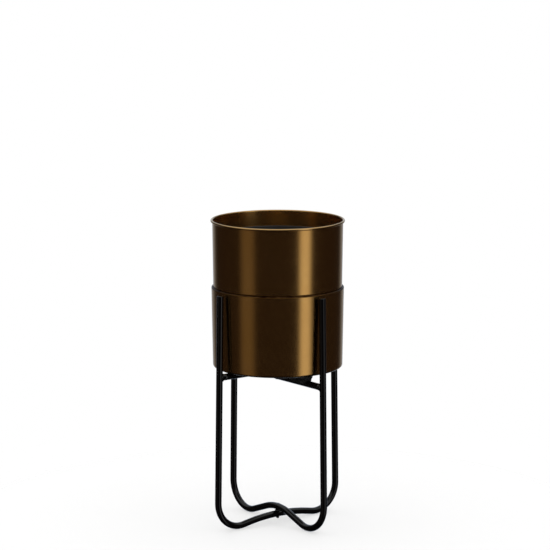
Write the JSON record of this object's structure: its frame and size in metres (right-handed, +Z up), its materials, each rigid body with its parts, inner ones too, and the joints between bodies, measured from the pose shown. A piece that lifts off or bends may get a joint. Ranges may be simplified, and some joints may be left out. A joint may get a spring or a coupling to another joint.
{
  "type": "planter pot",
  "caption": "Round brass planter pot with a stepped collar and plastic liner, standing between the legs of a folding black rod stand.",
  "frame": {"origin": "on the floor, under the centre of the pot and of the stand", "axes": "+Z up; the outer frame of the stand lies along X and the inner frame along Y when the stand is open"},
  "size_m": [0.2356, 0.2356, 0.4673],
  "materials": {
    "brass": "satin, brushed round the pot, clear lacquered",
    "black_coat": "satin black powder coat on steel rod",
    "rivet_steel": "black coated steel",
    "pad_rubber": "matt black rubber",
    "nylon": "black nylon",
    "liner_plastic": "fine-grained black polypropylene"
  },
  "bodies": {
    "outer_stand": {"outer_frame": "black_coat", "outer_crossbar": "black_coat", "lower_rivet": "rivet_steel", "lower_washer": "nylon", "upper_rivet": "rivet_steel", "upper_washer": "nylon"},
    "inner_stand": {"inner_frame": "black_coat", "inner_crossbar": "black_coat", "levelling_pad_front": "pad_rubber", "levelling_pad_back": "pad_rubber"},
    "pot": {"lower_shell": "brass", "upper_collar": "brass"},
    "pot_liner": {"liner": "liner_plastic"}
  },
  "joints": [
    {"name": "fold", "type": "hinge", "parent": "outer_stand", "child": "inner_stand", "pos_m": [0, 0, 0.13], "axis": [0, 0, 1], "range_deg": [-70, 70]},
    {"name": "pot_lift", "type": "slide", "parent": "outer_stand", "child": "pot", "axis": [0, 0, 1], "range_m": [0, 0.25]},
    {"name": "liner_lift", "type": "slide", "parent": "pot", "child": "pot_liner", "axis": [0, 0, 1], "range_m": [0, 0.25]}
  ]
}
